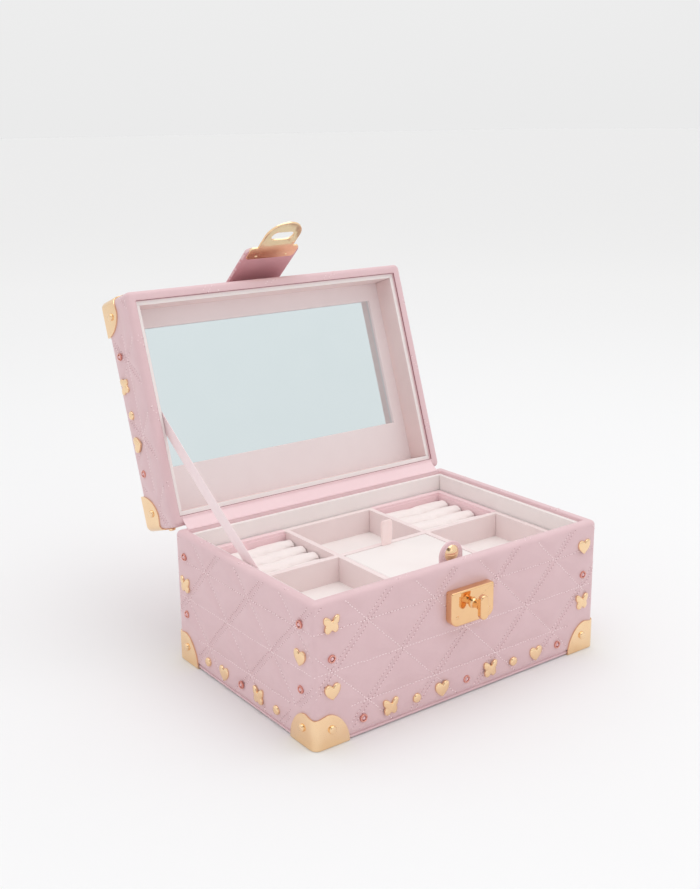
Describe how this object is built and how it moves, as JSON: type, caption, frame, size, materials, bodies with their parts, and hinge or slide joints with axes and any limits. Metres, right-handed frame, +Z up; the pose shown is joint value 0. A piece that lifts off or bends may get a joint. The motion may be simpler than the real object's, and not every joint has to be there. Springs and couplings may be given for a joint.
{
  "type": "jewelry box",
  "caption": "Quilted jewelry box with a hinged mirrored lid, a lift-out ring tray with compartments, gold corner guards and a strap that closes over a turn lock.",
  "frame": {"origin": "middle of the box's footprint, on the table that it stands on", "axes": "+Z up, +X to the right of someone facing the lock, -Y out of the front face with the lock"},
  "size_m": [0.244, 0.2757, 0.2936],
  "materials": {
    "pink leather": "quilted soft imitation leather with a fine grain and a slight sheen",
    "pale velvet": "short velvet pile",
    "satin ribbon": "smooth satin",
    "board": "plain fibreboard",
    "gold": "polished warm gold plating",
    "pink crystal": "cut clear pink",
    "mirror glass": "silvered glass"
  },
  "bodies": {
    "base": {"base_bottom_cover": "pink leather", "base_bottom_board": "board", "base_long_boards": "board", "base_side_boards": "board", "base_cover": "pink leather", "base_long_liners": "pale velvet", "base_side_liners": "pale velvet", "base_floor_pad": "pale velvet", "tray_supports": "pale velvet", "base_guards": "gold", "base_guard_rivets": "gold", "base_hearts": "gold", "base_butterflies": "gold", "base_dots": "gold", "base_crystal_cups": "gold", "base_crystals": "pink crystal", "lock_plate": "gold", "lock_rivets": "gold", "base_hinge_leaves": "gold", "hinge_pins": "gold", "base_hinge_screws": "gold", "hinge_strip": "pink leather", "ribbon_stay": "satin ribbon"},
    "lid": {"lid_hinge_leaves": "gold", "lid_hinge_screws": "gold", "lid_top_board": "board", "lid_long_boards": "board", "lid_side_boards": "board", "lid_cover": "pink leather", "lid_long_liners": "pale velvet", "lid_side_liners": "pale velvet", "mirror_board": "pale velvet", "mirror": "mirror glass", "lid_guards": "gold", "lid_guard_rivets": "gold", "lid_hearts": "gold", "lid_butterflies": "gold", "lid_dots": "gold", "lid_crystal_cups": "gold", "lid_crystals": "pink crystal", "strap_root": "pink leather"},
    "strap": {"strap_flap": "pink leather", "catch_plate": "gold", "catch_rivets": "gold"},
    "knob": {"lock_knob": "gold"},
    "tray": {"tray_floor": "pale velvet", "tray_long_walls": "pale velvet", "tray_side_walls": "pale velvet", "tray_long_divider": "pale velvet", "tray_cross_dividers": "pale velvet", "ring_bay_linings": "pink leather", "ring_rolls_left": "pale velvet", "ring_rolls_right": "pale velvet", "tray_tab": "pink leather", "tray_tab_rivet": "gold", "compartment_ledges": "pale velvet"},
    "compartment": {"compartment_lid": "pale velvet", "compartment_pull": "satin ribbon"}
  },
  "joints": [
    {"name": "lid_hinge", "type": "hinge", "parent": "base", "child": "lid", "pos_m": [0, 0.083, 0.095], "axis": [-1, 0, 0], "range_deg": [-108.6, 0], "deforming": ["hinge_strip", "ribbon_stay"]},
    {"name": "strap_fold", "type": "hinge", "parent": "lid", "child": "strap", "pos_m": [0, 0.16868, 0.24284], "axis": [-1, 0, 0], "range_deg": [-15, 0]},
    {"name": "knob_turn", "type": "hinge", "parent": "base", "child": "knob", "pos_m": [0, -0.0825, 0.067], "axis": [0, -1, 0], "range_deg": [0, 90]},
    {"name": "tray_lift", "type": "slide", "parent": "base", "child": "tray", "axis": [0, 0, 1], "range_m": [0, 0.07]},
    {"name": "compartment_hinge", "type": "hinge", "parent": "tray", "child": "compartment", "pos_m": [0, -0.0634, 0.0787], "axis": [1, 0, 0], "range_deg": [0, 86]}
  ]
}
